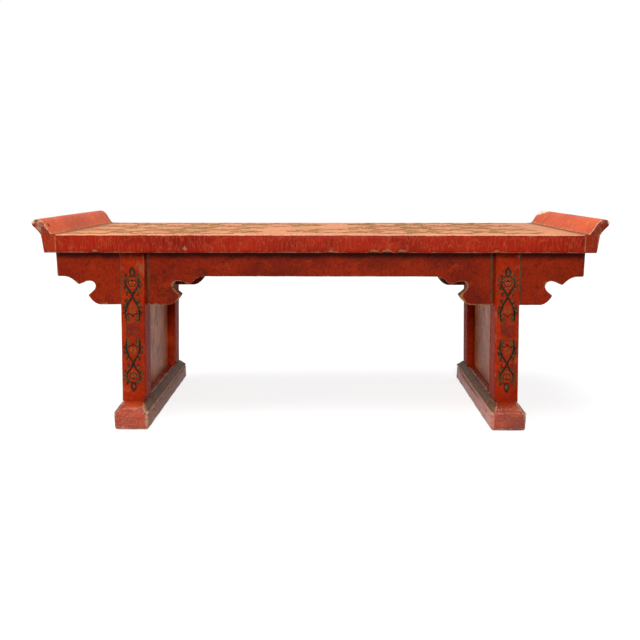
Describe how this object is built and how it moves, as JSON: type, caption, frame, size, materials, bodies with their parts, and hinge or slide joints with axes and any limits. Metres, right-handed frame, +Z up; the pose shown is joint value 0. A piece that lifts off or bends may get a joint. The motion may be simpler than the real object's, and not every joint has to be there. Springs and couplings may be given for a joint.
{
  "type": "rectangular display stand",
  "caption": "Low red-lacquered wooden display stand with upturned ends, cloud-shaped apron heads, panelled trestle legs and sledge feet.",
  "frame": {"origin": "centre of the stand's outline, on the floor plane", "axes": "+X to the right along the length, the painted front faces -Y, +Z up"},
  "size_m": [0.765, 0.286, 0.2918],
  "materials": {
    "vermilion_lacquer": "worn, crackled vermilion lacquer",
    "aged_lacquer": "glossy, browned red lacquer",
    "bare_wood": "unfinished, darkened softwood"
  },
  "bodies": {
    "root": {"top_front_plank": "vermilion_lacquer", "top_back_plank": "vermilion_lacquer", "left_batten": "bare_wood", "middle_batten": "bare_wood", "right_batten": "bare_wood", "front_apron": "vermilion_lacquer", "back_apron": "vermilion_lacquer", "left_end_board": "vermilion_lacquer", "left_flange": "vermilion_lacquer", "left_end_apron": "vermilion_lacquer", "left_foot": "vermilion_lacquer", "left_side_rail": "vermilion_lacquer", "left_side_panel": "aged_lacquer", "left_front_post": "vermilion_lacquer", "left_front_foot_peg": "bare_wood", "left_front_rail_peg": "bare_wood", "left_front_end_peg": "bare_wood", "left_back_post": "vermilion_lacquer", "left_back_foot_peg": "bare_wood", "left_back_rail_peg": "bare_wood", "left_back_end_peg": "bare_wood", "right_end_board": "vermilion_lacquer", "right_flange": "vermilion_lacquer", "right_end_apron": "vermilion_lacquer", "right_foot": "vermilion_lacquer", "right_side_rail": "vermilion_lacquer", "right_side_panel": "aged_lacquer", "right_front_post": "vermilion_lacquer", "right_front_foot_peg": "bare_wood", "right_front_rail_peg": "bare_wood", "right_front_end_peg": "bare_wood", "right_back_post": "vermilion_lacquer", "right_back_foot_peg": "bare_wood", "right_back_rail_peg": "bare_wood", "right_back_end_peg": "bare_wood"}
  },
  "joints": []
}
